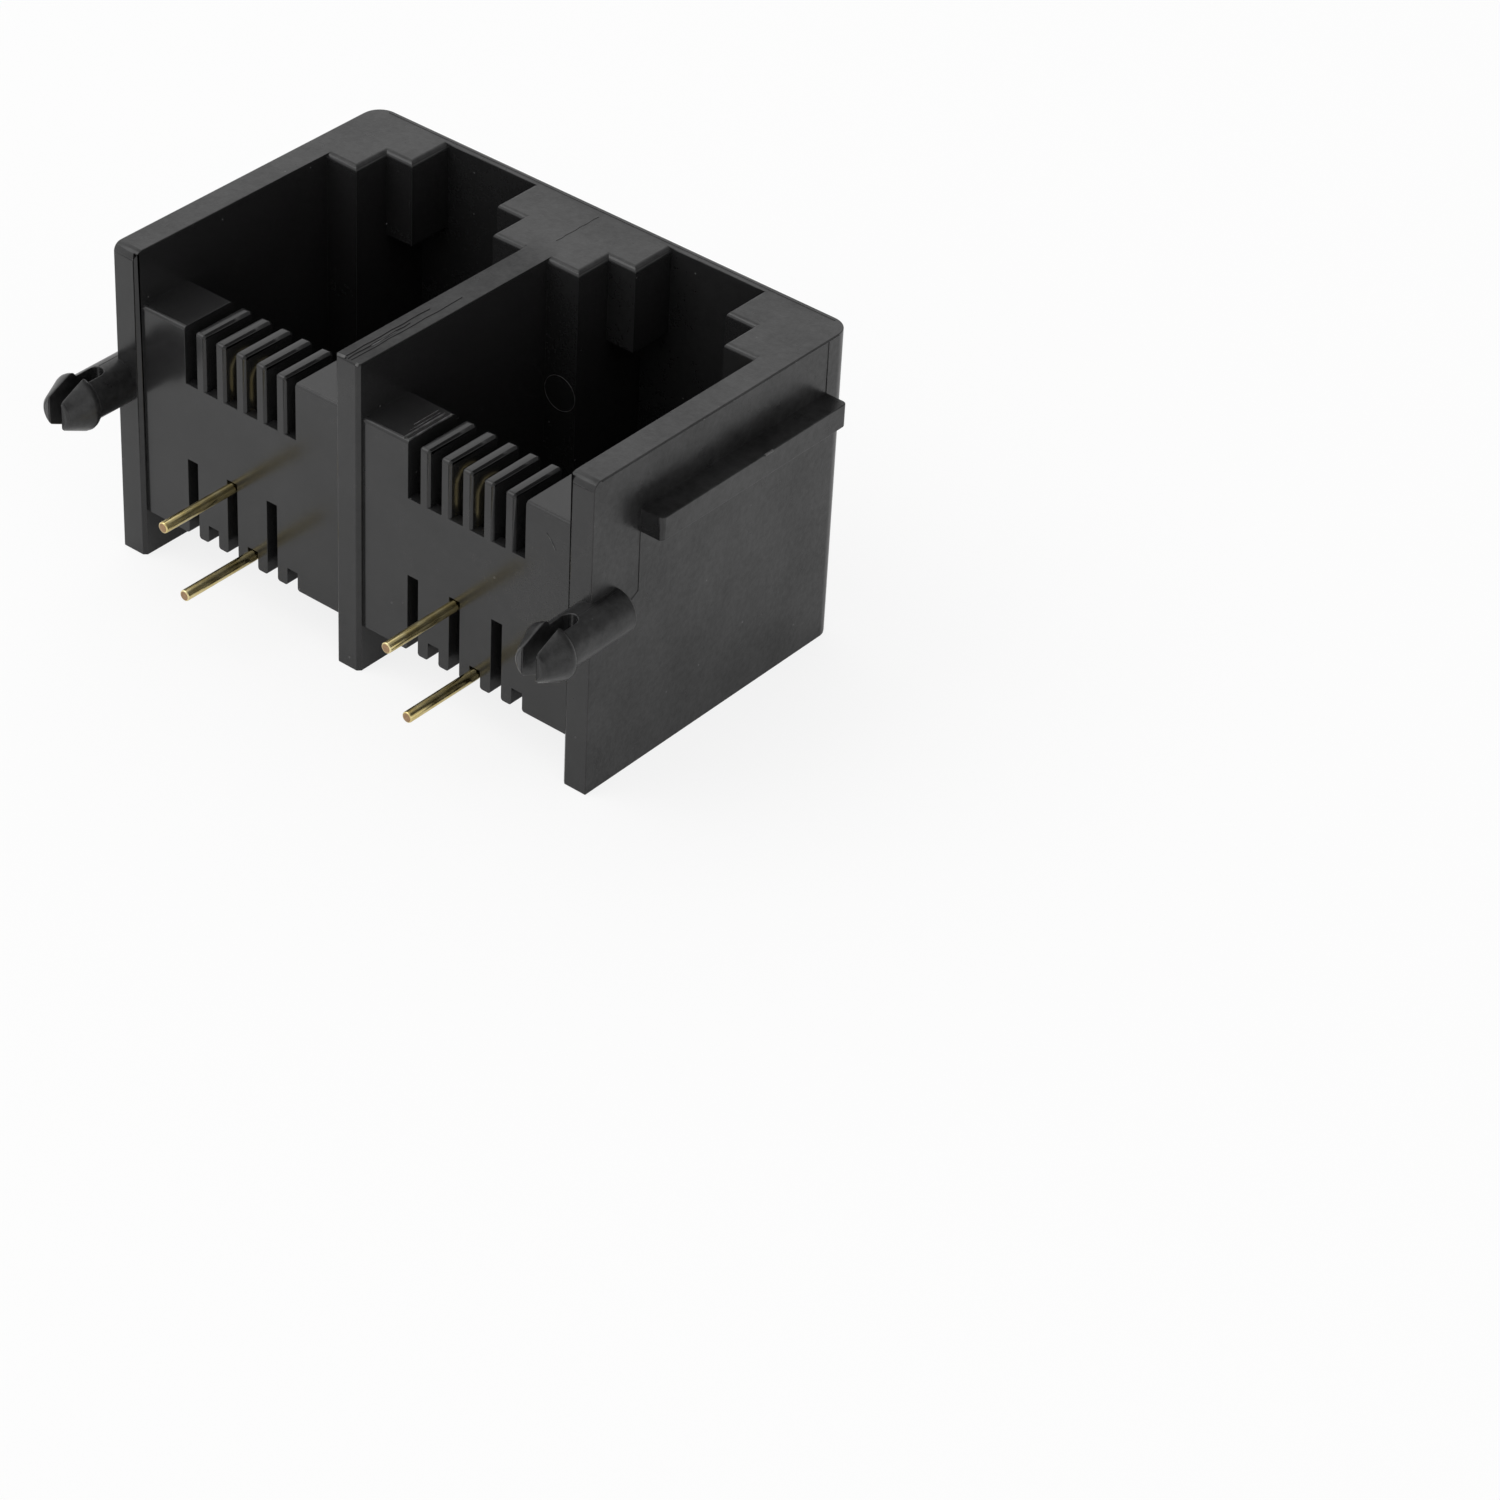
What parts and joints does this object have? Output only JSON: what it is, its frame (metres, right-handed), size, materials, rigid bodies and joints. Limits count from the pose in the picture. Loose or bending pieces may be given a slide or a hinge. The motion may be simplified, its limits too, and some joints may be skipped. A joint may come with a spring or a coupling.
{
  "type": "dual modular jack",
  "caption": "Side-by-side modular jack with keyed ports over wire spring contacts, end rails and split snap pegs for a circuit board.",
  "frame": {"origin": "centre of the flat back face that the jack stands on, midway between the ports and between the board side and the plain side", "axes": "+Z out of the ports, towards the plugs; -Y towards the circuit board; X from port to port"},
  "size_m": [0.0258, 0.0178, 0.0135],
  "materials": {
    "housing_plastic": "black glass-filled polyester moulding with a low sheen",
    "contact_gold": "smooth gold-plated phosphor bronze wire"
  },
  "bodies": {
    "root": {"housing": "housing_plastic", "left_port_contact_3": "contact_gold", "left_port_contact_4": "contact_gold", "right_port_contact_3": "contact_gold", "right_port_contact_4": "contact_gold"}
  },
  "joints": []
}
